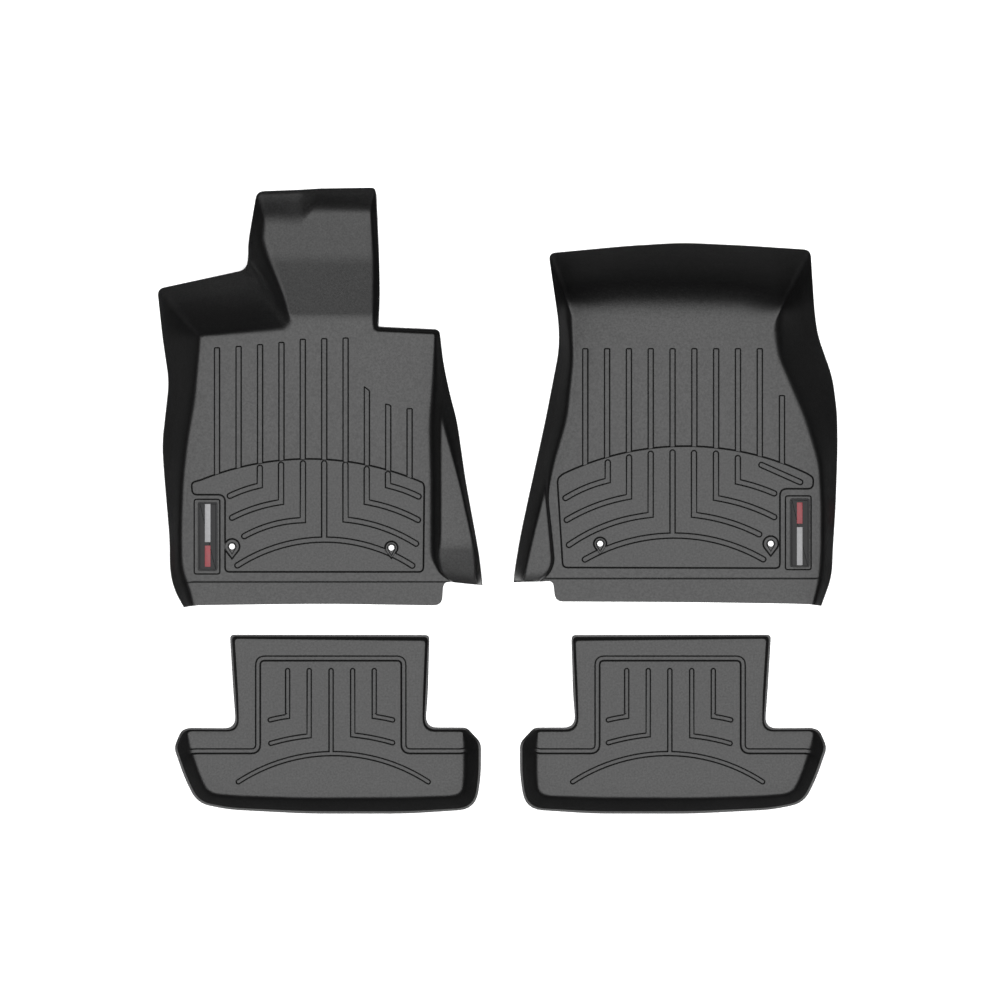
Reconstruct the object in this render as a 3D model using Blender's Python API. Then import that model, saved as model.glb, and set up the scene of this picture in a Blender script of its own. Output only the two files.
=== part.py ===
"""A set of four thermoformed car floor liners: two front, two rear, each front one with a badge plate.

Each liner is one formed sheet: a flat deck with grooves, a drain reservoir and raised baffles, and a wall
lofted round it. A liner is drawn in millimetres in its own frame, +X right, +Y towards the front of the car.
Its deck is a triangulation of its outlines, and its wall is a loft between the deck's edge and the rim.
"""

import math

import bpy
import numpy as np
from mathutils import Vector
from mathutils.geometry import delaunay_2d_cdt

MM = 0.001
SHEET = 3.0  # thickness of the formed sheet

# Front liners: heights of the top surface over the floor that the liner lies on
RESERVOIR_DEPTH = 4.5
DECK = SHEET + RESERVOIR_DEPTH
GROOVE_DEPTH = 2.8
RIB_HEIGHT = 3.2
RIB_WIDTH = 10.2
STEP_WALL = 1.5  # how far a groove's or rib's side runs in plan
GROOVE_ROUND = 3.0
GROOVE_OVERLAP = 8.0  # how far a groove runs on into the reservoir
RESERVOIR_WALL = 2.0
SEAT_DEPTH = 2.0  # clip seat, below its teardrop pad
SEAT_WALL = 1.2
SEAT_RADIUS, SEAT_TIP = 6.8, 13.5  # the seat's round end, and how far its point is from the hole
HOLE_RADIUS = 4.5
NARROW_PAD, BROAD_PAD = (11.5, 19.0), (13.5, 22.0)  # round end and point of the teardrop pads
STRIP_FRONT, STRIP_BACK = -53.5, -58.0  # the crease in front of the rear strip
STRIP_DROP = 2.2
LEDGE_REACH = 5.0  # rounding of the ledge's two edges

# The pedal column's ramp, by distance towards the front
RAMP_START, RAMP_KNEE, RAMP_ROUND = 364.0, 462.0, 10.0
LOWER_PITCH, UPPER_PITCH = 0.5, 0.37
COLUMN_RISE = 22.0  # of the low wall beside the ramp

# Rear liners
REAR_DECK = 6.0
REAR_RIB_WIDTH = 8.6
BEAD_HEIGHT = 2.6
# across the bead, from the outer deck to the reservoir: (distance from its centreline, height over the deck)
BEAD_SECTION = ((-4.4, 0.0), (-2.9, BEAD_HEIGHT), (2.3, BEAD_HEIGHT), (5.0, SHEET - REAR_DECK))

# Badge plate, in a pocket of the deck, with an adhesive pad under it
BADGE_SIZE = (30.5, 109.5)
DRIVER_PLATE_AT, PASSENGER_PLATE_AT = (-166.5, 17.0), (182.8, 17.5)
PLATE_ROUND, PAD_ROUND, POCKET_ROUND = 3.0, 2.0, 5.0
ADHESIVE_MARGIN = 1.5
POCKET_DEPTH = 2.8
GAP = 0.3
ADHESIVE = 0.8
PLATE = POCKET_DEPTH - ADHESIVE - 2 * GAP

# Where each liner's own origin lies in the set
DRIVER_AT = (-297.55, -74.4)
PASSENGER_AT = (300.45, -68.9)
REAR_LEFT_AT = (-266.05, -399.9)
REAR_RIGHT_AT = (274.95, -399.9)

# How finely round shapes are cut
ARC_STEPS = 2
COVE_STEPS = 2
BEND_STEPS = 1
POST_STEPS = 2


# ---------------------------------------------------------------- plan outlines


def bezier(start, middle, end, steps):
    """Points of a quadratic curve, both ends included."""
    return [
        (1 - t) ** 2 * start + 2 * t * (1 - t) * middle + t**2 * end
        for t in np.linspace(0.0, 1.0, steps + 1)
    ]


def rounded(corners, steps=ARC_STEPS):
    """A closed outline from (x, y, rounding reach) corners."""
    points = [np.array(corner[:2], float) for corner in corners]
    outline = []
    for i, (_, _, reach) in enumerate(corners):
        here = points[i]
        if reach == 0:
            outline.append(here)
            continue
        sides = []
        for other in (points[i - 1], points[(i + 1) % len(points)]):
            length = np.linalg.norm(other - here)
            sides.append(here + (other - here) * min(reach / length, 0.5))
        outline.extend(bezier(sides[0], here, sides[1], steps))
    return np.array(outline)


def bowed(start, end, rise, steps):
    """Points of the arc from start to end whose middle stands rise to the left of the straight line."""
    start, end = np.array(start, float), np.array(end, float)
    along = end - start
    left = np.array([-along[1], along[0]]) / np.linalg.norm(along)
    return bezier(start, (start + end) / 2 + 2 * rise * left, end, steps)


def side_steps(path):
    """Unit normals at the points of an open path, lengthened at its bends so that its sides stay parallel."""
    runs = np.diff(path, axis=0)
    runs /= np.linalg.norm(runs, axis=1)[:, None]
    before, after = np.vstack([runs[:1], runs]), np.vstack([runs, runs[-1:]])
    normals = np.stack([-(before + after)[:, 1], (before + after)[:, 0]], axis=1)
    normals /= np.linalg.norm(normals, axis=1)[:, None]
    square = np.stack([-before[:, 1], before[:, 0]], axis=1)
    return normals / np.maximum((normals * square).sum(axis=1), 0.4)[:, None]


def stroke(path, width, steps=ARC_STEPS):
    """The closed outline of a band of this width along an open path, with round ends."""
    path = np.array(path, float)
    side = side_steps(path) * width / 2
    halves = []
    for run, way in ((path + side, side[-1]), ((path - side)[::-1], -side[0])):
        across = np.array([way[1], -way[0]])
        centre = run[-1] - way
        turns = np.linspace(0, math.pi, 2 * steps + 1)[1:-1]
        halves.extend(run)
        halves.extend(centre + way * math.cos(turn) + across * math.sin(turn) for turn in turns)
    return np.array(halves)


def teardrop(centre, radius, tip, steps=ARC_STEPS):
    """A round outline drawn out to a tip towards -Y, tip being that point's distance from the centre."""
    half = math.acos(radius / tip)
    angles = np.linspace(-math.pi / 2 + half, 1.5 * math.pi - half, 4 * steps + 1)
    arc = [(centre[0] + radius * math.cos(a), centre[1] + radius * math.sin(a)) for a in angles]
    return np.array(arc + [(centre[0], centre[1] - tip)])


def circle(centre, radius, steps=ARC_STEPS):
    angles = np.arange(4 * steps) * math.pi / (2 * steps)
    return np.stack([centre[0] + radius * np.cos(angles), centre[1] + radius * np.sin(angles)], axis=1)


def inset(outline, distance):
    """A closed outline moved inwards by a distance."""
    ahead = np.roll(outline, -1, axis=0) - outline
    ahead /= np.linalg.norm(ahead, axis=1)[:, None]
    behind = np.roll(ahead, 1, axis=0)
    left = np.stack([-(ahead + behind)[:, 1], (ahead + behind)[:, 0]], axis=1)
    left /= np.linalg.norm(left, axis=1)[:, None]
    square = np.stack([-ahead[:, 1], ahead[:, 0]], axis=1)
    left /= np.maximum((left * square).sum(axis=1), 0.4)[:, None]
    return outline + left * (distance if area(outline) > 0 else -distance)


def area(outline):
    following = np.roll(outline, -1, axis=0)
    return 0.5 * (outline[:, 0] * following[:, 1] - outline[:, 1] * following[:, 0]).sum()


def distance_to(points, path):
    """Distance of each point from an open path."""
    start, run = path[:-1], np.diff(path, axis=0)
    away = points[:, None, :] - start[None]
    share = np.clip((away * run).sum(axis=2) / np.maximum((run**2).sum(axis=1), 1e-12), 0, 1)
    return np.linalg.norm(away - share[:, :, None] * run, axis=2).min(axis=1)


def is_inside(points, outline):
    """True for each point inside a closed outline."""
    x, y = points[:, :1], points[:, 1:]
    x0, y0 = outline[:, 0], outline[:, 1]
    x1, y1 = np.roll(x0, -1), np.roll(y0, -1)
    crosses = (y0 > y) != (y1 > y)
    with np.errstate(divide="ignore", invalid="ignore"):
        at = x0 + (y - y0) * (x1 - x0) / (y1 - y0)
    return (crosses & (x < at)).sum(axis=1) % 2 == 1


def share_down(points, outline, wall):
    """0 outside the outline, 1 beyond its sloping wall, and straight across the wall."""
    share = np.zeros(len(points))
    near = ((points > outline.min(axis=0)) & (points < outline.max(axis=0))).all(axis=1)
    near[near] = is_inside(points[near], outline)
    closed = np.vstack([outline, outline[:1]])
    share[near] = np.clip(distance_to(points[near], closed) / wall, 0, 1)
    return share


# ---------------------------------------------------------------- relief of the deck


class Relief:
    """The formed pattern of one deck. A shape is (outline, width of its wall in plan, height change)."""

    def __init__(self, base):
        self.base = base  # height of the plain surface at each point
        self.cuts = []
        self.ribs = []
        self.pads = []  # (outline, wall width): inside one the deck is plain
        self.pockets = []
        self.holes = []
        self.lines = []  # open lines across the deck, each ending at the deck's edge

    def height(self, points):
        cut = np.zeros(len(points))
        for outline, wall, depth in self.cuts:
            cut = np.minimum(cut, -depth * share_down(points, outline, wall))
        rib = np.zeros(len(points))
        for outline, wall, rise in self.ribs:
            rib = np.maximum(rib, rise * share_down(points, outline, wall))
        pad = np.zeros(len(points))
        for outline, wall in self.pads:
            pad = np.maximum(pad, share_down(points, outline, wall))
        pocket = sum(depth * share_down(points, outline, wall) for outline, wall, depth in self.pockets)
        return self.base(points) + (cut + rib) * (1 - pad) - pocket

    def rings(self):
        for outline, wall, *_ in self.cuts + self.ribs + self.pads + self.pockets:
            yield outline
            yield inset(outline, wall)
        yield from self.holes


def add_clip_seat(relief, hole, pad):
    """A retention hole in a teardrop seat, on a teardrop pad that stands level with the deck."""
    relief.pads.append((teardrop(hole, *pad), RESERVOIR_WALL))
    relief.pockets.append((teardrop(hole, SEAT_RADIUS, SEAT_TIP), SEAT_WALL, SEAT_DEPTH))
    relief.holes.append(circle(hole, HOLE_RADIUS))


def add_grooves(relief, grooves, reservoir_arc):
    """Straight grooves (x, top of left side, top of right side) that run down into the reservoir."""
    for x, left_top, right_top in grooves:
        left, right = x - RIB_WIDTH / 2, x + RIB_WIDTH / 2
        bottom = arc_over(x, *reservoir_arc) - GROOVE_OVERLAP
        corners = [(left, bottom, 0), (right, bottom, 0)]
        corners += [(right, right_top, GROOVE_ROUND), (left, left_top, GROOVE_ROUND)]
        relief.cuts.append((rounded(corners), STEP_WALL, GROOVE_DEPTH))


def add_ribs(relief, paths, width, height):
    for path in paths:
        relief.ribs.append((stroke(path, width), STEP_WALL, height))


def bent_rib(top, corner, end, bow):
    """A baffle that comes down from top to its corner, then runs off in a slightly bowed arm."""
    return [np.array(top, float)] + bowed(corner, end, bow, 3)


def arc_over(x, middle, crown, radius):
    """Height at x of an arc whose crown is at (middle, crown)."""
    return crown - radius + math.sqrt(radius**2 - (x - middle) ** 2)


def arc_points(x_from, x_to, steps, *arc):
    return [(x, arc_over(x, *arc)) for x in np.linspace(x_from, x_to, steps + 1)]


def rear_strip(points):
    """The strip behind the crease of a front liner lies lower than its deck."""
    return -STRIP_DROP * np.clip((STRIP_FRONT - points[:, 1]) / (STRIP_FRONT - STRIP_BACK), 0, 1)


# ---------------------------------------------------------------- wall


def post(floor, rim, top, cove=8.0, reach=20.0, ledge=None, level=DECK, slope=0.0):
    """One upright of the wall: where the deck ends, where the rim's outer edge is and how high it stands.

    cove is how far the curve at the wall's foot reaches, reach is the rounding in plan, and a ledge is two
    points (x, y, z) between which the wall runs nearly level. level and slope are the deck's at the upright.
    """
    edge = np.array([*floor, level], float)
    outer = np.array([*rim, top], float)
    out = (outer - edge) * (1, 1, 0)
    out /= np.linalg.norm(out)
    foot = edge + out * cove + (0, 0, slope * out[1] * cove)
    inner = outer - out * SHEET
    if ledge is None:
        ledge = (foot + (inner - foot) / 3, foot + (inner - foot) * 2 / 3)
    points = np.array([edge, foot, ledge[0], ledge[1], inner, outer])
    return points, reach


def stations(posts, closed, steps=POST_STEPS):
    """The wall's sections: the posts, with each bend between them rounded."""
    rows = []
    count = len(posts)
    for i, (points, reach) in enumerate(posts):
        if not closed and i in (0, count - 1):
            rows.append(points)
            continue
        sides = []
        for other, _ in (posts[i - 1], posts[(i + 1) % count]):
            run = np.linalg.norm((other - points)[-1, :2])
            sides.append(points + (other - points) * min(reach / run, 0.5))
        rows.extend(bezier(sides[0], points, sides[1], steps))
    kept = rows[:1]
    for row in rows[1:]:
        if np.abs(row - kept[-1]).max() > 0.05:
            kept.append(row)
    if closed and np.abs(kept[0] - kept[-1]).max() <= 0.05:
        kept.pop()
    return kept


def insert_stations(rows, y, closed):
    """Adds a section wherever the deck's edge crosses this y, and gives the crossings from left to right."""
    found = []
    i = 0
    while i < len(rows) - (0 if closed else 1):
        here, there = rows[i], rows[(i + 1) % len(rows)]
        if (here[0, 1] - y) * (there[0, 1] - y) < 0:
            share = (y - here[0, 1]) / (there[0, 1] - here[0, 1])
            row = here + (there - here) * share
            row[0, 1] = y
            rows.insert(i + 1, row)
            found.append(row[0, :2])
            i += 1
        i += 1
    return sorted(found, key=lambda point: point[0])


def split_border(border, ends, y):
    """Adds a point wherever the unwalled edge between these ends crosses this y, and gives the crossings."""
    path = [ends[0], *border, ends[1]]
    found = []
    for i in reversed(range(len(path) - 1)):
        here, there = np.array(path[i]), np.array(path[i + 1])
        if (here[1] - y) * (there[1] - y) < 0:
            point = here + (there - here) * (y - here[1]) / (there[1] - here[1])
            path.insert(i + 1, point)
            found.append(point)
    return path[1:-1], found


def bend(before, corner, after, steps=BEND_STEPS):
    """The rounded corner between two stretches of a section."""
    sides = []
    for other in (before, after):
        length = max(np.linalg.norm(other - corner), 1e-9)
        sides.append(corner + (other - corner) * min(LEDGE_REACH / length, 0.4))
    return bezier(sides[0], corner, sides[1], steps)


def section(row):
    """The points of the wall's inner face from the deck's edge to the top of the rim."""
    edge, foot, ledge_in, ledge_out, inner, _ = row
    rise = ledge_in - foot
    turn = foot + rise * min(np.linalg.norm(foot - edge) / np.linalg.norm(rise), 0.8)
    points = bezier(edge, foot, turn, COVE_STEPS)
    points += bend(turn, ledge_in, ledge_out)
    points += bend(ledge_in, ledge_out, inner)
    return np.array(points + [inner])


def outer_face(grid, closed):
    """The same grid moved out by the sheet's thickness, square to the surface."""
    along = np.roll(grid, -1, axis=0) - np.roll(grid, 1, axis=0)
    if not closed:
        along[0], along[-1] = grid[1] - grid[0], grid[-1] - grid[-2]
    up = np.empty_like(grid)
    up[:, 1:-1] = grid[:, 2:] - grid[:, :-2]
    up[:, 0], up[:, -1] = grid[:, 1] - grid[:, 0], grid[:, -1] - grid[:, -2]
    normal = np.cross(along, up)
    normal /= np.linalg.norm(normal, axis=2)[:, :, None]
    normal *= np.sign(normal[:, :, 2:])
    return grid - SHEET * normal


# ---------------------------------------------------------------- one liner


def triangulate(edge, relief):
    """The deck inside its edge: plan points, triangles, and which point each edge point became."""
    coordinates = [tuple(point) for point in edge]
    segments = [(i, (i + 1) % len(edge)) for i in range(len(edge))]
    for ring in relief.rings():
        first = len(coordinates)
        coordinates.extend(map(tuple, ring))
        segments.extend((first + i, first + (i + 1) % len(ring)) for i in range(len(ring)))
    for line in relief.lines:
        first = len(coordinates)
        coordinates.extend(map(tuple, line))
        segments.extend((first + i, first + i + 1) for i in range(len(line) - 1))
    result = delaunay_2d_cdt([Vector(point) for point in coordinates], segments, [], 1, 1e-4)
    points = np.array([tuple(point) for point in result[0]])
    triangles = np.array([tuple(face) for face in result[2]])
    middle = points[triangles].mean(axis=1)
    keep = np.ones(len(triangles), bool)
    for hole in relief.holes:
        keep &= ~is_inside(middle, hole)
    became = {old: new for new, olds in enumerate(result[3]) for old in olds}
    return points, triangles[keep], [became[i] for i in range(len(edge))]


def liner_mesh(rows, free_edge, relief, closed):
    """The closed mesh of one liner from its wall sections, its unwalled edge and its relief."""
    for row in rows:
        row[:2, 2] += relief.height(row[:1, :2])[0] - row[0, 2]
    edge = np.array([row[0, :2] for row in rows] + list(free_edge))
    plan, triangles, edge_index = triangulate(edge, relief)
    used, triangles = np.unique(triangles, return_inverse=True)
    renumber = {old: new for new, old in enumerate(used)}
    edge_index = [renumber[i] for i in edge_index]
    plan, triangles = plan[used], triangles.reshape(-1, 3)
    deck = np.column_stack([plan, relief.height(plan)])

    grid = np.array([section(row) for row in rows])
    outer = outer_face(grid, closed)
    outer[:, -1] = [row[-1] for row in rows]
    count, levels = grid.shape[:2]
    index = len(deck) + np.arange(count * (levels - 1)).reshape(count, levels - 1)
    index = np.column_stack([edge_index[:count], index])
    top = np.vstack([deck, grid[:, 1:].reshape(-1, 3)])
    under = np.vstack([deck - (0, 0, SHEET), outer[:, 1:].reshape(-1, 3)])

    faces = [tuple(face) for face in triangles]
    for i in range(count - (0 if closed else 1)):
        j = (i + 1) % count
        for k in range(levels - 1):
            faces.append((index[i, k], index[i, k + 1], index[j, k + 1], index[j, k]))
    return close(top, under, faces)


def close(top, under, faces):
    """A closed mesh of a sheet: its top, its underside and the cut faces along every open border."""
    faces = [facing_up(top, face) for face in faces]
    borders = set()
    for face in faces:
        for a, b in zip(face, face[1:] + face[:1]):
            if (b, a) in borders:
                borders.remove((b, a))
            else:
                borders.add((a, b))
    shift = len(top)
    below = [tuple(i + shift for i in reversed(face)) for face in faces]
    sides = [(b, a, a + shift, b + shift) for a, b in borders]
    return np.vstack([top, under]), faces + below + sorted(sides)


def facing_up(points, face):
    """The face's corners in the order that turns it upwards."""
    face = tuple(int(i) for i in face)
    return face if area(points[list(face), :2]) > 0 else face[::-1]


def free_edge(corners, first, last, steps=ARC_STEPS):
    """The unwalled part of a deck's edge, from the last wall section round to the first."""
    outline = rounded([(*last, 0), *corners, (*first, 0)], steps)
    return outline[1:-1]


# ---------------------------------------------------------------- the liners' designs


def driver_base(points):
    """The driver's deck, with its pedal column ramping up in two pitches at the front."""
    y = points[:, 1]
    column = LOWER_PITCH * soft(y - RAMP_START) - (LOWER_PITCH - UPPER_PITCH) * soft(y - RAMP_KNEE)
    return DECK + column + rear_strip(points)


def soft(x):
    """0 below 0 and x above it, rounded within RAMP_ROUND of 0."""
    rounded_part = np.clip(x + RAMP_ROUND, 0, 2 * RAMP_ROUND) ** 2 / (4 * RAMP_ROUND)
    return np.where(x > RAMP_ROUND, x, rounded_part)


DRIVER_CREASES = (
    STRIP_FRONT,
    STRIP_BACK,
    RAMP_START - RAMP_ROUND,
    RAMP_START,
    RAMP_START + RAMP_ROUND,
    RAMP_KNEE - RAMP_ROUND,
    RAMP_KNEE + RAMP_ROUND,
)


def ramp_height(y):
    return float(driver_base(np.array([[0.0, y]]))[0])


DRIVER_ARC = (-5.0, 142.5, 460.0)  # crown of the reservoir's front edge: x, y, radius
DRIVER_HOLES = ((-127.5, 1.0), (127.5, -1.0))
DRIVER_GROOVES = (  # x, top of the left side, top of the right side
    (-151.5, 320, 320),
    (-117, 322, 322),
    (-82.6, 325, 325),
    (-48.4, 328.5, 328.5),
    (-14.3, 333.5, 333.5),
    (20, 334.5, 334.5),
    (54.2, 335.5, 335.5),
    (88.3, 258.5, 251),
    (122.4, 230.5, 227.5),
    (156.6, 222.5, 222.5),
)
DRIVER_BADGE = (-189.0, 77.5, -146.0, -44.0)  # pocket: left, front, right, back


def driver_relief():
    relief = Relief(driver_base)
    reservoir = [
        (-192, 82.5, 9),
        (-140, 82.5, 10),
        (-140, -41, 9),
        (180, -41, 9),
        (181.5, 103, 9),
    ]
    front = [(x, y, 0) for x, y in arc_points(170, -178, 12, *DRIVER_ARC)]
    relief.cuts.append((rounded(reservoir + front + [(-194, 104, 7)]), RESERVOIR_WALL, RESERVOIR_DEPTH))
    add_grooves(relief, DRIVER_GROOVES, DRIVER_ARC)
    ribs = [
        bent_rib((-83, 127), (-83, 98.5), (-131, 82), -1.5),
        bent_rib((-49, 132), (-49, 72), (-127.5, 47), -3.5),
        bent_rib((-14, 134), (-14, 43), (-108, 17.5), -6),
        [(20, 134), (20, 12)],
        bent_rib((54, 132), (54, 44), (167, 5.5), 7),
        bent_rib((88, 125), (88, 72), (170, 43.5), 3.5),
        bent_rib((122, 117), (122, 98.5), (171, 81), 1.5),
        arc_points(-119, 161, 10, 20.8, 12.0, 257.0),
    ]
    add_ribs(relief, ribs, RIB_WIDTH, RIB_HEIGHT)
    add_clip_seat(relief, DRIVER_HOLES[0], BROAD_PAD)
    add_clip_seat(relief, DRIVER_HOLES[1], NARROW_PAD)
    add_badge_pocket(relief, DRIVER_BADGE)
    return relief


def ramp_post(floor, rim, top, cove, reach=20.0):
    """An upright beside the pedal column's ramp."""
    y = floor[1]
    slope = ramp_height(y + 1) - ramp_height(y)
    return post(floor, rim, top, cove, reach, level=ramp_height(y), slope=slope)


def driver_posts():
    ramp_side_top = [ramp_height(y) + COLUMN_RISE for y in (462, 380)]
    return [
        post((-181, -93), (-205, -96), 62, 11),
        post((-185.5, -70), (-219.5, -70), 68, 11),
        post((-201, -29), (-227, -40), 75, 10),
        post((-202, 27.5), (-227.5, 15), 83, 10),
        post((-199, 103.5), (-236.5, 118), 90, 9),
        post((-191, 170), (-239.5, 165), 96, 9),
        post((-180, 229), (-228.5, 264), 112, 11),
        post((-176.5, 284.5), (-239, 335), 142, 9),
        post((-173, 332), (-247.5, 413.5), 164, 9, 12),
        post((-27, 341), (-105.5, 444), 112, 10, 12),
        ramp_post((-32, 382), (-101.5, 465), 124, 12),
        ramp_post((-67, 490), (-102, 487), 116, 14),
        ramp_post((-70.5, 515.5), (-88, 569.5), 110, 12, 12),
        ramp_post((-19, 512), (-19, 572), 110, 12, 6),
        ramp_post((-1, 534), (12, 574), 124, 12, 6),
        ramp_post((92.5, 533), (102.5, 575.5), 121, 9, 8),
        ramp_post((92, 462), (108, 462), ramp_side_top[0], 8),
        ramp_post((93, 380), (109.5, 400), ramp_side_top[1], 8),
        post((97, 340.5), (105.5, 352.5), DECK + 14, 7, 6),
        post((194.5, 338), (204, 348), DECK + 15, 5, 6),
        post((189.5, 289.5), (210.5, 296), 50, 8),
        post((185.5, 250.5), (220.5, 248), 72, 9),
        post((181, 198.5), (233, 201), 88, 9.5, 20, ((205, 200, 42), (211, 200.5, 44))),
        post((183.5, 106), (246.5, 106), 90, 9.5, 20, ((205.5, 106, 42), (237, 106, 44))),
        post((183.5, 10), (264.5, 8), 86, 9.5, 20, ((205.5, 10, 42), (258.5, 9, 44))),
        post((184, -16), (268.5, -16), 83, 9.5, 12, ((201, -16, 31), (262, -17, 33))),
        post((202, -43), (272, -46), 72, 5, 8, ((208, -44, 18), (263, -47, 20))),
        post((222, -55.5), (273.5, -61.5), 66, 3, 8, ((227, -56.5, 11), (265, -60.5, 13))),
    ]


def front_liner(posts, relief, creases, corners):
    rows = stations(posts, False)
    ends = rows[-1][0, :2].copy(), rows[0][0, :2].copy()
    border = free_edge(corners, ends[1], ends[0])
    for y in creases:
        border, crossings = split_border(border, ends, y)
        crossings += insert_stations(rows, y, False)
        relief.lines.append(sorted(crossings, key=lambda point: point[0]))
    return liner_mesh(rows, border, relief, False)


def driver_liner():
    corners = [(210.5, -57, 12), (208.5, -93.5, 14), (20, -90.5, 60)]
    return front_liner(driver_posts(), driver_relief(), DRIVER_CREASES, corners)


PASSENGER_ARC = (0.0, 157.5, 455.0)
PASSENGER_HOLES = ((-136.5, 0.0), (136.5, 0.0))
PASSENGER_GROOVES = [(-20.7 + 34.9 * i, 313, 313) for i in range(-4, 5)] + [(154.4, 238, 238)]
PASSENGER_BADGE = (159.0, 77.5, 202.0, -42.5)


def passenger_base(points):
    return DECK + rear_strip(points)


def passenger_relief():
    relief = Relief(passenger_base)
    reservoir = [
        (-206.5, 105, 8),
        (-197.5, -39.5, 9),
        (152.5, -40.5, 9),
        (152.5, 86.5, 10),
        (205.5, 86.5, 10),
        (206, 107, 7),
    ]
    front = [(x, y, 0) for x, y in arc_points(194, -196, 12, *PASSENGER_ARC)]
    relief.cuts.append((rounded(reservoir + front), RESERVOIR_WALL, RESERVOIR_DEPTH))
    add_grooves(relief, PASSENGER_GROOVES, PASSENGER_ARC)
    ribs = [
        bent_rib((-124.3, 130), (-124.3, 101), (-192, 73), -3),
        bent_rib((-90.2, 138), (-90.2, 75), (-190, 38), -5),
        bent_rib((-55.6, 144), (-55.6, 46), (-186.5, -2), -9),
        [(-20.7, 146), (-20.7, 13)],
        bent_rib((13.6, 145), (13.6, 46), (118, 15), 5),
        bent_rib((48.8, 144), (48.8, 73), (142, 42.5), 4),
        bent_rib((83.8, 137), (83.8, 99), (142, 80.5), 1.5),
        [(121.5, 126), (183.5, 98.5)],
        arc_points(-161, 124.5, 10, -18.0, 13.0, 286.0),
    ]
    add_ribs(relief, ribs, RIB_WIDTH, RIB_HEIGHT)
    add_clip_seat(relief, PASSENGER_HOLES[0], NARROW_PAD)
    add_clip_seat(relief, PASSENGER_HOLES[1], BROAD_PAD)
    add_badge_pocket(relief, PASSENGER_BADGE)
    return relief


def passenger_posts():
    return [
        post((-232, -60.8), (-275, -62), 62, 2, 8, ((-237, -61, 11), (-262, -61.5, 13))),
        post((-215, -49), (-274, -48), 68, 2.5, 8, ((-220, -45.5, 17), (-257.5, -48, 18.5))),
        post((-206.5, -30), (-271.5, -30), 75, 3, 12, ((-214, -29, 19), (-253.5, -30, 20.5))),
        post((-210.5, 12), (-264.5, 12), 80, 3, 20, ((-217, 12, 20), (-244, 12, 21.5))),
        post((-218, 78), (-250.5, 78), 86, 3, 20, ((-223, 78, 20), (-227.5, 78, 21))),
        post((-205.5, 125), (-240, 125), 89, 8),
        post((-182.5, 201), (-223.5, 201), 96, 9),
        post((-175, 287), (-202.5, 310), 120, 9.5),
        post((-176.5, 325), (-203, 352), 143, 11.5),
        post((-177.5, 357), (-219.5, 465), 190, 40, 12),
        post((-100, 327), (-95, 476.5), 201, 72, 20),
        post((0, 326), (-5, 482), 203, 72, 30),
        post((80, 324), (100, 477), 201, 72, 20),
        post((140, 351), (200.5, 470.5), 190, 34, 12),
        post((134.5, 329.5), (206.5, 375), 164, 14.5),
        post((141.5, 294), (211.5, 334), 142, 10.5),
        post((156.5, 261.5), (235.5, 266), 120, 10),
        post((181.5, 199.5), (243, 208), 100, 11.5),
        post((208, 122), (243.5, 150), 92, 9.5),
        post((210, 60), (240.5, 60), 88, 9.5),
        post((210, -10), (236, -10), 80, 9.5),
        post((207, -57), (234.5, -53), 72, 9.5),
        post((198, -97), (217.5, -99.5), 62),
    ]


def passenger_liner():
    creases = (STRIP_FRONT, STRIP_BACK)
    corners = [(170, -96, 20), (0, -93.5, 60), (-208, -92.5, 12), (-212, -59.5, 8)]
    return front_liner(passenger_posts(), passenger_relief(), creases, corners)


BEAD_LEVEL = -1.0  # y of the bead's side runs
BEAD_BOX = (-117.5, 115.5, 147.5)  # left, right and front of the bead's box
BEAD_ROUND = 11.0
REAR_ARC = (3.0, -4.8, 278.0)  # crown of the lower baffle


def bead_path(shift):
    """The bead's line, moved by shift towards the reservoir."""
    left, right, front = BEAD_BOX[0] + shift, BEAD_BOX[1] - shift, BEAD_BOX[2] - shift
    level = BEAD_LEVEL - shift
    corners = [(-400, level, 0), (left, level, BEAD_ROUND), (left, front, BEAD_ROUND)]
    corners += [(right, front, BEAD_ROUND), (right, level, BEAD_ROUND), (400, level, 0)]
    return rounded(corners)


def rear_base(points):
    """The rear deck: outer deck, bead and reservoir, by distance across the bead."""
    path = bead_path(0.0)
    across = distance_to(points, path)
    reservoir = np.vstack([path, [(400, -400), (-400, -400)]])
    across = np.where(is_inside(points, reservoir), across, -across)
    shifts, heights = zip(*BEAD_SECTION)
    return REAR_DECK + np.interp(across, shifts, heights)


def rear_posts():
    low = REAR_DECK + 11
    front = [
        post((-153.5, 178), (-162.5, 185.5), low, 2, 7, level=REAR_DECK),
        post((149, 173.5), (157, 185), low, 3, 7, level=REAR_DECK),
        post((144.5, 90), (154.5, 90), low, 3, 20, level=REAR_DECK),
        post((144.5, 28.5), (150, 37), low, 3, 14, level=REAR_DECK),
        post((209, 28.5), (216.5, 37), low + 2, 3, 6, level=REAR_DECK),
        post((206, 7), (239.5, 13), 45, 7, 10, level=REAR_DECK),
    ]
    back = [
        post((206, -40.5), (239.5, -38), 48, 7, 20, level=SHEET),
        post((205, -68), (231, -94), 50, 7, 28, level=SHEET),
        post((107.5, -69.5), (120, -101), 49, 7, 30, level=SHEET),
        post((-40, -70.5), (-40, -101), 48, 6, 30, level=SHEET),
        post((-146, -67.5), (-165, -94.5), 48, 7.5, 20, level=SHEET),
        post((-189.5, -65), (-215, -84), 48, 8, 20, level=SHEET),
        post((-203.5, -42), (-235, -44), 46, 7, 20, level=SHEET),
    ]
    shelf = [
        post((-219.5, 8.5), (-252, 5), 38, 7, 9, level=REAR_DECK),
        post((-228.5, 30), (-239, 35.5), low + 2, 4, 11, level=REAR_DECK),
        post((-147, 29.5), (-152.5, 36), low, 2, 13, level=REAR_DECK),
        post((-148, 90.5), (-157, 95), low, 2, 20, level=REAR_DECK),
    ]
    return front + back + shelf


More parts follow.
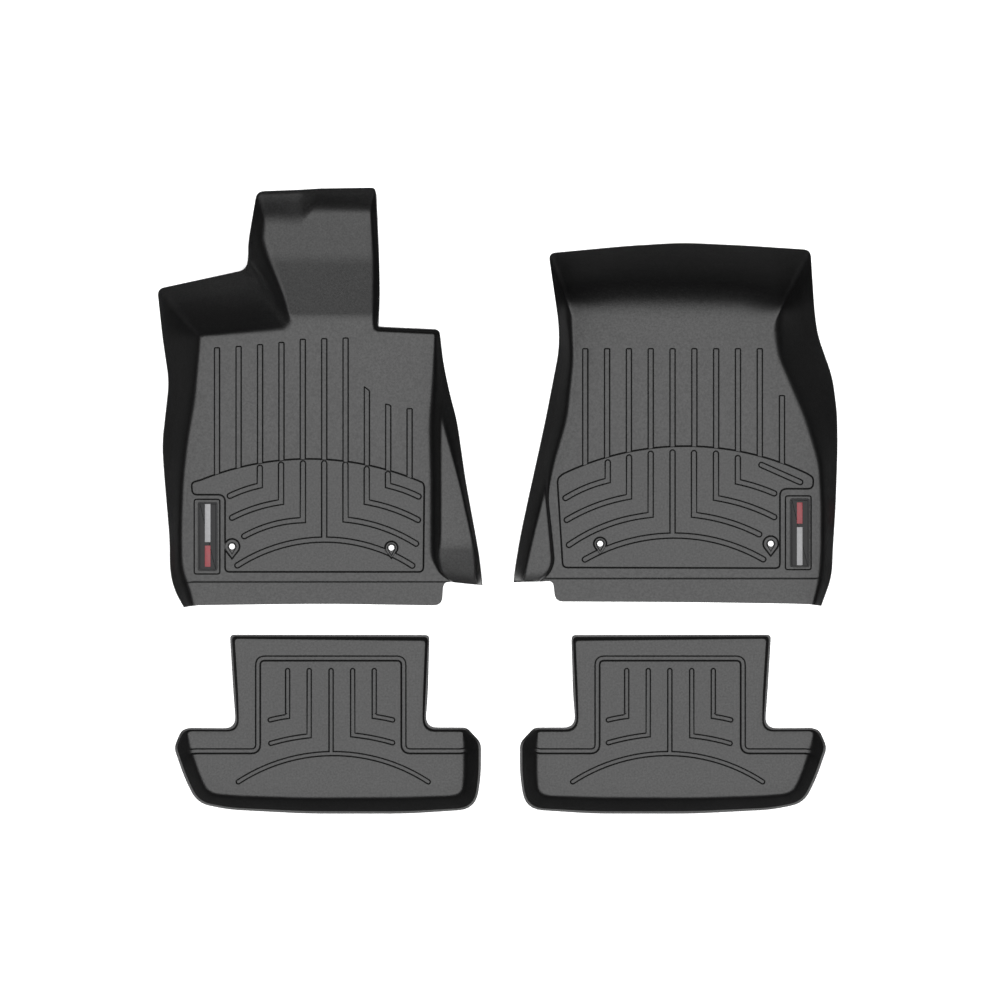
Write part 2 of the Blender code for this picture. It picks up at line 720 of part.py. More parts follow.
def rear_relief():
    relief = Relief(rear_base)
    ribs = [
        bent_rib((-70, 128), (-70, 54.5), (-98, 49), -0.5),
        bent_rib((-35.5, 128), (-35.5, 23.5), (-97, 11.5), -1.5),
        [(-0.5, 128), (-0.5, -5)],
        bent_rib((34, 128), (34, 25), (98, 12.5), 1.5),
        bent_rib((68.5, 128), (68.5, 54.5), (98, 49), 0.5),
        arc_points(-149, 155, 10, *REAR_ARC),
    ]
    add_ribs(relief, ribs, REAR_RIB_WIDTH, RIB_HEIGHT)
    return relief


def rear_liner():
    relief = rear_relief()
    rows = stations(rear_posts(), True)
    for shift, _ in BEAD_SECTION:
        path = bead_path(shift)
        ends = insert_stations(rows, path[0, 1], True)
        path[0], path[-1] = ends[0], ends[-1]
        relief.lines.append(path)
    return liner_mesh(rows, [], relief, True)


# ---------------------------------------------------------------- badges


def add_badge_pocket(relief, box):
    left, front, right, back = box
    corners = [(x, y, POCKET_ROUND) for x, y in ((left, back), (right, back), (right, front), (left, front))]
    relief.pockets.append((rounded(corners), STEP_WALL, POCKET_DEPTH))


def slab(name, at, size, bottom, height, reach, material):
    """A flat plate with rounded corners, as a filled curve with a height."""
    x, y = size[0] / 2, size[1] / 2
    outline = rounded([(-x, -y, reach), (x, -y, reach), (x, y, reach), (-x, y, reach)])
    curve = bpy.data.curves.new(name, "CURVE")
    curve.dimensions = "2D"
    curve.fill_mode = "BOTH"
    curve.extrude = height * MM / 2
    spline = curve.splines.new("POLY")
    spline.points.add(len(outline) - 1)
    for point, (px, py) in zip(spline.points, outline):
        point.co = (px * MM, py * MM, 0, 1)
    spline.use_cyclic_u = True
    curve.materials.append(material)
    plate = bpy.data.objects.new(name, curve)
    plate.location = (at[0] * MM, at[1] * MM, (bottom + height / 2) * MM)
    return plate


# ---------------------------------------------------------------- scene


def clear_scene():
    for obj in list(bpy.data.objects):
        bpy.data.objects.remove(obj, do_unlink=True)


def make_material(name, colour, roughness, metallic=0.0):
    material = bpy.data.materials.new(name)
    material.use_nodes = True
    shader = material.node_tree.nodes["Principled BSDF"]
    shader.inputs["Base Color"].default_value = (*colour, 1.0)
    shader.inputs["Roughness"].default_value = roughness
    shader.inputs["Metallic"].default_value = metallic
    return material


def liner_object(name, mesh_data, material, mirrored=False):
    points, faces = mesh_data
    points = points * MM
    if mirrored:
        points = points * (-1, 1, 1)
        faces = [face[::-1] for face in faces]
    mesh = bpy.data.meshes.new(name)
    mesh.from_pydata(points.tolist(), [], faces)
    mesh.materials.append(material)
    mesh.shade_smooth()
    mesh.set_sharp_from_angle(angle=math.radians(30))
    return bpy.data.objects.new(name, mesh)


def place(collection, name, at, objects):
    """Stands a liner and what is fixed to it at its place in the set."""
    stand = bpy.data.objects.new(name, None)
    stand.location = (at[0] * MM, at[1] * MM, 0)
    collection.objects.link(stand)
    for obj in objects:
        collection.objects.link(obj)
        obj.parent = stand


def badge(side, at, plate_material, pad_material):
    pad_bottom = DECK - POCKET_DEPTH + GAP
    size = [length - 2 * ADHESIVE_MARGIN for length in BADGE_SIZE]
    pad = slab(f"{side}_badge_pad", at, size, pad_bottom, ADHESIVE, PAD_ROUND, pad_material)
    plate_bottom = pad_bottom + ADHESIVE + GAP
    plate = slab(f"{side}_badge", at, BADGE_SIZE, plate_bottom, PLATE, PLATE_ROUND, plate_material)
    return [plate, pad]


def main():
    clear_scene()
    collection = bpy.data.collections.new("floor_mat_set")
    bpy.context.scene.collection.children.link(collection)
    liner = make_material("liner", (0.02, 0.02, 0.02), 0.55)
    plate = make_material("badge_plate", (0.012, 0.012, 0.013), 0.3)
    adhesive = make_material("adhesive", (0.6, 0.6, 0.58), 0.8)

    driver = liner_object("front_left_liner", driver_liner(), liner)
    driver_badge = badge("front_left", DRIVER_PLATE_AT, plate, adhesive)
    place(collection, "front_left", DRIVER_AT, [driver, *driver_badge])
    passenger = liner_object("front_right_liner", passenger_liner(), liner)
    passenger_badge = badge("front_right", PASSENGER_PLATE_AT, plate, adhesive)
    place(collection, "front_right", PASSENGER_AT, [passenger, *passenger_badge])
    rear = rear_liner()
    rear_left = liner_object("rear_left_liner", rear, liner)
    place(collection, "rear_left", REAR_LEFT_AT, [rear_left])
    rear_right = liner_object("rear_right_liner", rear, liner, mirrored=True)
    place(collection, "rear_right", REAR_RIGHT_AT, [rear_right])


main()
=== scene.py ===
"""The visual model of a set of four thermoformed car floor liners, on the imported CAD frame.

Each liner's visual mesh repeats the CAD design in fine steps: every moulded step has a rounded top and foot,
every wall a smooth cove, and every cut edge of the sheet is rounded. Lengths are in millimetres until a mesh
is made. A liner is drawn in its own frame, +X right, +Y towards the front of the car.
"""

import math

import bpy
import numpy as np
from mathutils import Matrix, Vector
from mathutils.geometry import delaunay_2d_cdt


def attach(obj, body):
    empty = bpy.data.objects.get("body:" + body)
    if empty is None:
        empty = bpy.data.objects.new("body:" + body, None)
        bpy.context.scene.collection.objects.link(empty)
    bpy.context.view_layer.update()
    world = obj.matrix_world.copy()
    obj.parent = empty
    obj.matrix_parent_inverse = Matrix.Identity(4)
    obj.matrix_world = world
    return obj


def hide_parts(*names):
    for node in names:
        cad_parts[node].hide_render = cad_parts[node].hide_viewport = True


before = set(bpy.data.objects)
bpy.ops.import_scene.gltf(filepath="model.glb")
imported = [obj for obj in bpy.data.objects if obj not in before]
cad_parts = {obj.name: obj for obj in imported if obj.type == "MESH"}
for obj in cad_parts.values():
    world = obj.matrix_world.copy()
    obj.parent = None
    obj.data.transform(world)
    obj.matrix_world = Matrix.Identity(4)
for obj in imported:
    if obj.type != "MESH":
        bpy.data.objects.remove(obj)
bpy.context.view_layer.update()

MM = 0.001
SHEET = 3.0  # thickness of the formed sheet

# Front liners: heights of the top surface over the floor that the liner lies on
RESERVOIR_DEPTH = 4.5
DECK = SHEET + RESERVOIR_DEPTH
GROOVE_DEPTH = 2.8
RIB_HEIGHT = 3.2
RIB_WIDTH = 10.2
STEP_WALL = 2.0  # how far a groove's or rib's side runs in plan
GROOVE_ROUND = 3.0
GROOVE_OVERLAP = 8.0  # how far a groove runs on into the reservoir
RESERVOIR_WALL = 2.7
SEAT_DEPTH = 2.0  # clip seat, below its teardrop pad
SEAT_WALL = 1.2
SEAT_RADIUS, SEAT_TIP = 6.8, 13.5  # the seat's round end, and how far its point is from the hole
HOLE_RADIUS = 4.5
NARROW_PAD, BROAD_PAD = (11.5, 19.0), (13.5, 22.0)  # round end and point of the teardrop pads
STRIP_FRONT, STRIP_BACK = -53.5, -58.0  # the crease in front of the rear strip
STRIP_DROP = 2.2
LEDGE_REACH = 5.0  # rounding of the ledge's two edges

# The pedal column's ramp, by distance towards the front
RAMP_START, RAMP_KNEE, RAMP_ROUND = 364.0, 462.0, 10.0
LOWER_PITCH, UPPER_PITCH = 0.5, 0.37
COLUMN_RISE = 22.0  # of the low wall beside the ramp

# Rear liners
REAR_DECK = 6.0
REAR_RIM = 11.0  # of the rear liners' low front and side edges, over their deck
REAR_RIB_WIDTH = 8.6
BEAD_HEIGHT = 2.6
# the bead's two sides, from the outer deck to the reservoir: (start, end, change of height)
BEAD_SIDES = ((-4.8, -2.5, BEAD_HEIGHT), (2.3, 5.0, SHEET - REAR_DECK - BEAD_HEIGHT))

# Badge plate, in a pocket of the deck, with an adhesive pad under it
BADGE_SIZE = (30.5, 109.5)
DRIVER_PLATE_AT, PASSENGER_PLATE_AT = (-166.5, 17.0), (182.8, 17.5)
PLATE_ROUND, POCKET_ROUND = 3.0, 5.0
POCKET_DEPTH = 2.8
GAP = 0.3
ADHESIVE = 0.8
PLATE = POCKET_DEPTH - ADHESIVE - 2 * GAP

# Where each liner's own origin lies in the set
DRIVER_AT = (-297.55, -74.4)
PASSENGER_AT = (300.45, -68.9)
REAR_LEFT_AT = (-266.05, -399.9)
REAR_RIGHT_AT = (274.95, -399.9)

# How finely the visual mesh is cut
FILLET = 0.4  # how far a step's rounding reaches past its wall, at the top and at the foot
RINGS = 8  # outlines across a step's wall
ARC_STEPS = 6
COVE_STEPS = 8
BEND_STEPS = 4
POST_STEPS = 6
STATION_GAP = 12.0  # most between two sections of the wall
CREASE_LINES = 7  # lines across a rounded crease

# The sheet's cut edge: how thick it is at the rim and how far it is rounded
FRONT_LIP, REAR_LIP = 1.2, 4.2
LIP_ROUND = 0.5
CUT_STEPS = 2

# Limits that keep outlines and sections sound
SHARPEST = 0.4  # least cosine used where an offset is lengthened at a bend
HALFWAY = 0.5  # most of a side that the rounding of one corner takes
BEND_SHARE = 0.4  # most of a stretch that the rounding of a ledge's edge takes
COVE_SHARE = 0.8  # most of the wall's lowest stretch that its cove takes
SAME_PLACE = 0.05  # sections of the wall closer than this are one
END_SHARE = 0.1  # place of the extra section beside the end of a wall, as a share of the first span

# Materials: the part of a noise texture's range that carries the change
NOISE_LOW, NOISE_HIGH = 0.3, 0.7

# Studio, in metres
FLOOR_REACH = 15.0
FLOOR_GLOW = 0.45
SOFTBOX_AT = (0.5, 0.1, 3.4)
SOFTBOX_SIZE = 8.0
SOFTBOX_WATTS = 660.0
FILL_STRENGTH = 0.015
PICTURE_WIDTH = 1.6
EYE_AT = (0.0037, 0.001, 6.0)


# ---------------------------------------------------------------- plan outlines


def bezier(start, middle, end, steps):
    """Points of a quadratic curve, both ends included."""
    return [
        (1 - t) ** 2 * start + 2 * t * (1 - t) * middle + t**2 * end
        for t in np.linspace(0.0, 1.0, steps + 1)
    ]


def rounded(corners, steps=ARC_STEPS):
    """A closed outline from (x, y, rounding reach) corners."""
    points = [np.array(corner[:2], float) for corner in corners]
    outline = []
    for i, (_, _, reach) in enumerate(corners):
        here = points[i]
        if reach == 0:
            outline.append(here)
            continue
        sides = []
        for other in (points[i - 1], points[(i + 1) % len(points)]):
            length = np.linalg.norm(other - here)
            sides.append(here + (other - here) * min(reach / length, HALFWAY))
        outline.extend(bezier(sides[0], here, sides[1], steps))
    return np.array(outline)


def bowed(start, end, rise, steps):
    """Points of the arc from start to end whose middle stands rise to the left of the straight line."""
    start, end = np.array(start, float), np.array(end, float)
    along = end - start
    left = np.array([-along[1], along[0]]) / np.linalg.norm(along)
    return bezier(start, (start + end) / 2 + 2 * rise * left, end, steps)


def side_steps(path):
    """Unit normals at the points of an open path, lengthened at its bends so that its sides stay parallel."""
    runs = np.diff(path, axis=0)
    runs /= np.linalg.norm(runs, axis=1)[:, None]
    before, after = np.vstack([runs[:1], runs]), np.vstack([runs, runs[-1:]])
    normals = np.stack([-(before + after)[:, 1], (before + after)[:, 0]], axis=1)
    normals /= np.linalg.norm(normals, axis=1)[:, None]
    square = np.stack([-before[:, 1], before[:, 0]], axis=1)
    return normals / np.maximum((normals * square).sum(axis=1), SHARPEST)[:, None]


def stroke(path, width, steps=ARC_STEPS):
    """The closed outline of a band of this width along an open path, with round ends."""
    path = np.array(path, float)
    side = side_steps(path) * width / 2
    halves = []
    for run, way in ((path + side, side[-1]), ((path - side)[::-1], -side[0])):
        across = np.array([way[1], -way[0]])
        centre = run[-1] - way
        turns = np.linspace(0, math.pi, 2 * steps + 1)[1:-1]
        halves.extend(run)
        halves.extend(centre + way * math.cos(turn) + across * math.sin(turn) for turn in turns)
    return np.array(halves)


def teardrop(centre, radius, tip, steps=ARC_STEPS):
    """A round outline drawn out to a tip towards -Y, tip being that point's distance from the centre."""
    half = math.acos(radius / tip)
    angles = np.linspace(-math.pi / 2 + half, 1.5 * math.pi - half, 4 * steps + 1)
    arc = [(centre[0] + radius * math.cos(a), centre[1] + radius * math.sin(a)) for a in angles]
    return np.array(arc + [(centre[0], centre[1] - tip)])


def circle(centre, radius, steps=ARC_STEPS):
    angles = np.arange(4 * steps) * math.pi / (2 * steps)
    return np.stack([centre[0] + radius * np.cos(angles), centre[1] + radius * np.sin(angles)], axis=1)


def inset(outline, distance):
    """A closed outline moved inwards by a distance."""
    ahead = np.roll(outline, -1, axis=0) - outline
    ahead /= np.linalg.norm(ahead, axis=1)[:, None]
    behind = np.roll(ahead, 1, axis=0)
    left = np.stack([-(ahead + behind)[:, 1], (ahead + behind)[:, 0]], axis=1)
    left /= np.linalg.norm(left, axis=1)[:, None]
    square = np.stack([-ahead[:, 1], ahead[:, 0]], axis=1)
    left /= np.maximum((left * square).sum(axis=1), SHARPEST)[:, None]
    return outline + left * (distance if area(outline) > 0 else -distance)


def area(outline):
    following = np.roll(outline, -1, axis=0)
    return 0.5 * (outline[:, 0] * following[:, 1] - outline[:, 1] * following[:, 0]).sum()


def distance_to(points, path):
    """Distance of each point from an open path."""
    start, run = path[:-1], np.diff(path, axis=0)
    away = points[:, None, :] - start[None]
    share = np.clip((away * run).sum(axis=2) / np.maximum((run**2).sum(axis=1), 1e-12), 0, 1)
    return np.linalg.norm(away - share[:, :, None] * run, axis=2).min(axis=1)


def is_inside(points, outline):
    """True for each point inside a closed outline."""
    x, y = points[:, :1], points[:, 1:]
    x0, y0 = outline[:, 0], outline[:, 1]
    x1, y1 = np.roll(x0, -1), np.roll(y0, -1)
    crosses = (y0 > y) != (y1 > y)
    with np.errstate(divide="ignore", invalid="ignore"):
        at = x0 + (y - y0) * (x1 - x0) / (y1 - y0)
    return (crosses & (x < at)).sum(axis=1) % 2 == 1


def smooth_step(x):
    x = np.clip(x, 0.0, 1.0)
    return x * x * (3 - 2 * x)


def share_in(points, outline, wall):
    """0 outside an outline and 1 beyond its wall, with a rounded top and foot between."""
    share = np.zeros(len(points))
    low, high = outline.min(axis=0) - FILLET, outline.max(axis=0) + FILLET
    near = ((points > low) & (points < high)).all(axis=1)
    if near.any():
        depth = distance_to(points[near], np.vstack([outline, outline[:1]]))
        depth = np.where(is_inside(points[near], outline), depth, -depth)
        share[near] = smooth_step((depth + FILLET) / (wall + 2 * FILLET))
    return share


# ---------------------------------------------------------------- relief of the deck


class Relief:
    """The formed pattern of one deck. A shape is (outline, width of its wall in plan, height change)."""

    def __init__(self, base):
        self.base = base  # height of the plain surface at each point
        self.cuts = []
        self.ribs = []
        self.pads = []  # (outline, wall width): inside one the deck is plain
        self.pockets = []
        self.holes = []
        self.lines = []  # open lines across the deck, each ending at the deck's edge

    def height(self, points):
        cut = np.zeros(len(points))
        for outline, wall, depth in self.cuts:
            cut = np.minimum(cut, -depth * share_in(points, outline, wall))
        rib = np.zeros(len(points))
        for outline, wall, rise in self.ribs:
            rib = np.maximum(rib, rise * share_in(points, outline, wall))
        pad = np.zeros(len(points))
        for outline, wall in self.pads:
            pad = np.maximum(pad, share_in(points, outline, wall))
        pocket = sum(depth * share_in(points, outline, wall) for outline, wall, depth in self.pockets)
        return self.base(points) + (cut + rib) * (1 - pad) - pocket

    def rings(self):
        for outline, wall, *_ in self.cuts + self.ribs + self.pads + self.pockets:
            for depth in np.linspace(-FILLET, wall + FILLET, RINGS):
                yield inset(outline, depth)
        yield from self.holes

    def normals(self, points, reach=0.1):
        """Unit normals of the surface, from its height a little to each side."""
        slopes = [
            (self.height(points + step) - self.height(points - step)) / (2 * reach)
            for step in (np.array([reach, 0.0]), np.array([0.0, reach]))
        ]
        normals = np.column_stack([-slopes[0], -slopes[1], np.ones(len(points))])
        return normals / np.linalg.norm(normals, axis=1)[:, None]


def add_clip_seat(relief, hole, pad):
    """A retention hole in a teardrop seat, on a teardrop pad that stands level with the deck."""
    relief.pads.append((teardrop(hole, *pad), RESERVOIR_WALL))
    relief.pockets.append((teardrop(hole, SEAT_RADIUS, SEAT_TIP), SEAT_WALL, SEAT_DEPTH))
    relief.holes.append(circle(hole, HOLE_RADIUS))


def add_grooves(relief, grooves, reservoir_arc):
    """Straight grooves (x, top of left side, top of right side) that run down into the reservoir."""
    for x, left_top, right_top in grooves:
        left, right = x - RIB_WIDTH / 2, x + RIB_WIDTH / 2
        bottom = arc_over(x, *reservoir_arc) - GROOVE_OVERLAP
        corners = [(left, bottom, 0), (right, bottom, 0)]
        corners += [(right, right_top, GROOVE_ROUND), (left, left_top, GROOVE_ROUND)]
        relief.cuts.append((rounded(corners), STEP_WALL, GROOVE_DEPTH))


def add_ribs(relief, paths, width, height):
    for path in paths:
        relief.ribs.append((stroke(path, width), STEP_WALL, height))


def bent_rib(top, corner, end, bow):
    """A baffle that comes down from top to its corner, then runs off in a slightly bowed arm."""
    return [np.array(top, float)] + bowed(corner, end, bow, 2 * ARC_STEPS)


def arc_over(x, middle, crown, radius):
    """Height at x of an arc whose crown is at (middle, crown)."""
    return crown - radius + math.sqrt(radius**2 - (x - middle) ** 2)


def arc_points(x_from, x_to, *arc):
    return [(x, arc_over(x, *arc)) for x in np.linspace(x_from, x_to, 5 * ARC_STEPS)]


def add_badge_pocket(relief, box):
    left, front, right, back = box
    corners = [(x, y, POCKET_ROUND) for x, y in ((left, back), (right, back), (right, front), (left, front))]
    relief.pockets.append((rounded(corners), STEP_WALL, POCKET_DEPTH))


def rear_strip(points):
    """The strip behind the crease of a front liner lies lower than its deck."""
    return -STRIP_DROP * smooth_step((STRIP_FRONT - points[:, 1]) / (STRIP_FRONT - STRIP_BACK))


# ---------------------------------------------------------------- wall


def post(floor, rim, top, cove=8.0, reach=20.0, ledge=None, level=DECK, slope=0.0):
    """One upright of the wall: where the deck ends, where the rim's outer edge is and how high it stands.

    cove is how far the curve at the wall's foot reaches, reach is the rounding in plan, and a ledge is two
    points (x, y, z) between which the wall runs nearly level. level and slope are the deck's at the upright.
    """
    edge = np.array([*floor, level], float)
    outer = np.array([*rim, top], float)
    out = (outer - edge) * (1, 1, 0)
    out /= np.linalg.norm(out)
    foot = edge + out * cove + (0, 0, slope * out[1] * cove)
    inner = outer - out * SHEET
    if ledge is None:
        ledge = (foot + (inner - foot) / 3, foot + (inner - foot) * 2 / 3)
    points = np.array([edge, foot, ledge[0], ledge[1], inner, outer])
    return points, reach


def stations(posts, closed, steps=POST_STEPS):
    """The wall's sections: the posts, with each bend between them rounded."""
    rows = []
    count = len(posts)
    for i, (points, reach) in enumerate(posts):
        if not closed and i in (0, count - 1):
            rows.append(points)
            continue
        sides = []
        for other, _ in (posts[i - 1], posts[(i + 1) % count]):
            run = np.linalg.norm((other - points)[-1, :2])
            sides.append(points + (other - points) * min(reach / run, HALFWAY))
        rows.extend(bezier(sides[0], points, sides[1], steps))
    kept = rows[:1]
    for row in rows[1:]:
        if np.abs(row - kept[-1]).max() > SAME_PLACE:
            kept.append(row)
    if closed and np.abs(kept[0] - kept[-1]).max() <= SAME_PLACE:
        kept.pop()
    return kept


def insert_stations(rows, y, closed):
    """Adds a section wherever the deck's edge crosses this y, and gives the crossings from left to right."""
    found = []
    i = 0
    while i < len(rows) - (0 if closed else 1):
        here, there = rows[i], rows[(i + 1) % len(rows)]
        if (here[0, 1] - y) * (there[0, 1] - y) < 0:
            share = (y - here[0, 1]) / (there[0, 1] - here[0, 1])
            row = here + (there - here) * share
            row[0, 1] = y
            rows.insert(i + 1, row)
            found.append(row[0, :2])
            i += 1
        i += 1
    return left_to_right(found)


def left_to_right(points):
    return sorted(points, key=lambda point: point[0])


def split_border(border, ends, y):
    """Adds a point wherever the unwalled edge between these ends crosses this y, and gives the crossings."""
    path = [ends[0], *border, ends[1]]
    found = []
    for i in reversed(range(len(path) - 1)):
        here, there = np.array(path[i]), np.array(path[i + 1])
        if (here[1] - y) * (there[1] - y) < 0:
            point = here + (there - here) * (y - here[1]) / (there[1] - here[1])
            path.insert(i + 1, point)
            found.append(point)
    return path[1:-1], found


def fill_stations(rows, closed):
    """The same sections with more of them in every long span."""
    filled = []
    for i, here in enumerate(rows):
        filled.append(here)
        if i == len(rows) - 1 and not closed:
            break
        there = rows[(i + 1) % len(rows)]
        count = int(np.linalg.norm((there - here)[-1, :2]) // STATION_GAP)
        filled.extend(here + (there - here) * k / (count + 1) for k in range(1, count + 1))
    return filled


def crisp_ends(rows):
    """Adds a section close to each end of the wall, so that only the very end is shaded as a corner."""
    first = (1 - END_SHARE) * rows[0] + END_SHARE * rows[1]
    last = (1 - END_SHARE) * rows[-1] + END_SHARE * rows[-2]
    return [rows[0], first, *rows[1:-1], last, rows[-1]]


def bend(before, corner, after, steps=BEND_STEPS):
    """The rounded corner between two stretches of a section."""
    sides = []
    for other in (before, after):
        length = max(np.linalg.norm(other - corner), 1e-9)
        sides.append(corner + (other - corner) * min(LEDGE_REACH / length, BEND_SHARE))
    return bezier(sides[0], corner, sides[1], steps)


def section(row, lip):
    """The wall's inner face at one section, from the deck's edge to the top of a rim as thick as lip."""
    edge, foot, ledge_in, ledge_out, inner, outer = row
    inner = outer + (inner - outer) * lip / SHEET
    rise = ledge_in - foot
    turn = foot + rise * min(np.linalg.norm(foot - edge) / np.linalg.norm(rise), COVE_SHARE)
    points = bezier(edge, foot, turn, COVE_STEPS)
    points += bend(turn, ledge_in, ledge_out)
    points += bend(ledge_in, ledge_out, inner)
    return np.array(points + [(points[-1] + inner) / 2, inner])


def outer_face(grid, closed):
    """The same grid moved out by the sheet's thickness, square to the surface."""
    along = np.roll(grid, -1, axis=0) - np.roll(grid, 1, axis=0)
    if not closed:
        along[0], along[-1] = grid[1] - grid[0], grid[-1] - grid[-2]
    up = np.empty_like(grid)
    up[:, 1:-1] = grid[:, 2:] - grid[:, :-2]
    up[:, 0], up[:, -1] = grid[:, 1] - grid[:, 0], grid[:, -1] - grid[:, -2]
    normal = np.cross(along, up)
    normal /= np.linalg.norm(normal, axis=2)[:, :, None]
    normal *= np.sign(normal[:, :, 2:])
    return grid - SHEET * normal


# ---------------------------------------------------------------- one liner


def triangulate(edge, relief):
    """The deck inside its edge: plan points, triangles, and which point each edge point became."""
    coordinates = [tuple(point) for point in edge]
    segments = [(i, (i + 1) % len(edge)) for i in range(len(edge))]
    for ring in relief.rings():
        first = len(coordinates)
        coordinates.extend(map(tuple, ring))
        segments.extend((first + i, first + (i + 1) % len(ring)) for i in range(len(ring)))
    for line in relief.lines:
        first = len(coordinates)
        coordinates.extend(map(tuple, line))
        segments.extend((first + i, first + i + 1) for i in range(len(line) - 1))
    result = delaunay_2d_cdt([Vector(point) for point in coordinates], segments, [], 1, 1e-4)
    points = np.array([tuple(point) for point in result[0]])
    triangles = np.array([tuple(face) for face in result[2]])
    middle = points[triangles].mean(axis=1)
    keep = np.ones(len(triangles), bool)
    for hole in relief.holes:
        keep &= ~is_inside(middle, hole)
    became = {old: new for new, olds in enumerate(result[3]) for old in olds}
    return points, triangles[keep], [became[i] for i in range(len(edge))]


def liner_mesh(rows, border, relief, closed, lip):
    """Points, faces and known normals of one liner, from its wall sections, unwalled edge and relief."""
    # the deck's edge and the wall's foot take the height that the relief has at the edge
    for row in rows:
        row[:2, 2] += relief.height(row[:1, :2])[0] - row[0, 2]
    edge = np.array([row[0, :2] for row in rows] + list(border))
    plan, triangles, edge_index = triangulate(edge, relief)
    used, triangles = np.unique(triangles, return_inverse=True)
    renumber = {old: new for new, old in enumerate(used)}
    edge_index = [renumber[i] for i in edge_index]
    plan, triangles = plan[used], triangles.reshape(-1, 3)
    deck = np.column_stack([plan, relief.height(plan)])

    grid = np.array([section(row, lip) for row in rows])
    outer = outer_face(grid, closed)
    outer[:, -1] = [row[-1] for row in rows]
    count, levels = grid.shape[:2]
    index = len(deck) + np.arange(count * (levels - 1)).reshape(count, levels - 1)
    index = np.column_stack([edge_index[:count], index])
    top = np.vstack([deck, grid[:, 1:].reshape(-1, 3)])
    under = np.vstack([deck - (0, 0, SHEET), outer[:, 1:].reshape(-1, 3)])

    faces = [tuple(face) for face in triangles]
    for i in range(count - (0 if closed else 1)):
        j = (i + 1) % count
        for k in range(levels - 1):
            faces.append((index[i, k], index[i, k + 1], index[j, k + 1], index[j, k]))
    points, faces = close(top, under, faces)
    return points, faces, relief.normals(plan), len(top)


def close(top, under, faces):
    """A closed mesh of a sheet: its top, its underside and a rounded cut along every open border."""
    faces = [facing_up(top, face) for face in faces]
    shift = len(top)
    below = [tuple(i + shift for i in reversed(face)) for face in faces]
    points = [np.array(top), np.array(under)]
    first = 2 * shift
    cut_faces = []
    for loop in border_loops(open_border(faces)):
        rings = cut_rings(top, under, loop)
        points[0][loop], points[1][loop] = rings[0], rings[-1]
        count = len(loop)
        index = [np.array(loop)]
        for ring in rings[1:-1]:
            index.append(first + np.arange(count))
            points.append(ring)
            first += count
        index.append(np.array(loop) + shift)
        for upper, lower in zip(index, index[1:]):
            for i in range(count):
                j = (i + 1) % count
                cut_faces.append((upper[j], upper[i], lower[i], lower[j]))
    return np.vstack(points), faces + below + cut_faces


def open_border(faces):
    """Which points follow each point along the sheet's open border: the sides that only one face has."""
    following = {}
    for face in faces:
        for a, b in zip(face, face[1:] + face[:1]):
            if following.get(b) == {a}:
                del following[b]
            elif a in following.get(b, ()):
                following[b].remove(a)
            else:
                following.setdefault(a, set()).add(b)
    return following


def border_loops(following):
    """The closed loops of a sheet's border, from the point that follows each."""
    loops = []
    while following:
        start = min(following)
        loop = [start]
        here = start
        while True:
            ahead = following[here].pop()
            if not following[here]:
                del following[here]
            if ahead == start:
                break
            loop.append(ahead)
            here = ahead
        loops.append(loop)
    return loops


def cut_rings(top, under, loop):
    """Lines of points round a sheet's cut edge, from its top face to its underside, with rounded corners."""
    upper, lower = top[loop], under[loop]
    along = np.roll(upper, -1, axis=0) - np.roll(upper, 1, axis=0)
    through = upper - lower
    thickness = np.linalg.norm(through, axis=1)[:, None]
    through = through / thickness
    out = np.cross(along, through)
    out /= np.linalg.norm(out, axis=1)[:, None]
    reach = np.minimum(LIP_ROUND, 0.45 * thickness)
    turns = np.linspace(0, math.pi / 2, CUT_STEPS + 1)
    back = [(1 - math.sin(turn), 1 - math.cos(turn)) for turn in turns]
    rings = [upper - reach * (out * inward + through * down) for inward, down in back]
    return rings + [lower - reach * (out * inward - through * down) for inward, down in reversed(back)]


def facing_up(points, face):
    """The face's corners in the order that turns it upwards."""
    face = tuple(int(i) for i in face)
    return face if area(points[list(face), :2]) > 0 else face[::-1]


def free_edge(corners, first, last, steps=ARC_STEPS):
    """The unwalled part of a deck's edge, from the last wall section round to the first."""
    outline = rounded([(*last, 0), *corners, (*first, 0)], steps)
    return outline[1:-1]


# ---------------------------------------------------------------- the liners' designs


def driver_base(points):
    """The driver's deck, with its pedal column ramping up in two pitches at the front."""
    y = points[:, 1]
    column = LOWER_PITCH * soft(y - RAMP_START) - (LOWER_PITCH - UPPER_PITCH) * soft(y - RAMP_KNEE)
    return DECK + column + rear_strip(points)


def soft(x):
    """0 below 0 and x above it, rounded within RAMP_ROUND of 0."""
    rounded_part = np.clip(x + RAMP_ROUND, 0, 2 * RAMP_ROUND) ** 2 / (4 * RAMP_ROUND)
    return np.where(x > RAMP_ROUND, x, rounded_part)


def creases(*spans):
    """The lines across rounded creases, each crease being a span in y."""
    return [y for span in spans for y in np.linspace(*span, CREASE_LINES)]


def ramp_height(y):
    return float(driver_base(np.array([[0.0, y]]))[0])


DRIVER_ARC = (-5.0, 142.5, 460.0)  # crown of the reservoir's front edge: x, y, radius
DRIVER_HOLES = ((-127.5, 1.0), (127.5, -1.0))
DRIVER_GROOVES = (  # x, top of the left side, top of the right side
    (-151.5, 320, 320),
    (-117, 322, 322),
    (-82.6, 325, 325),
    (-48.4, 328.5, 328.5),
    (-14.3, 333.5, 333.5),
    (20, 334.5, 334.5),
    (54.2, 335.5, 335.5),
    (88.3, 258.5, 251),
    (122.4, 230.5, 227.5),
    (156.6, 222.5, 222.5),
)
DRIVER_BADGE = (-189.0, 77.5, -146.0, -44.0)  # pocket: left, front, right, back


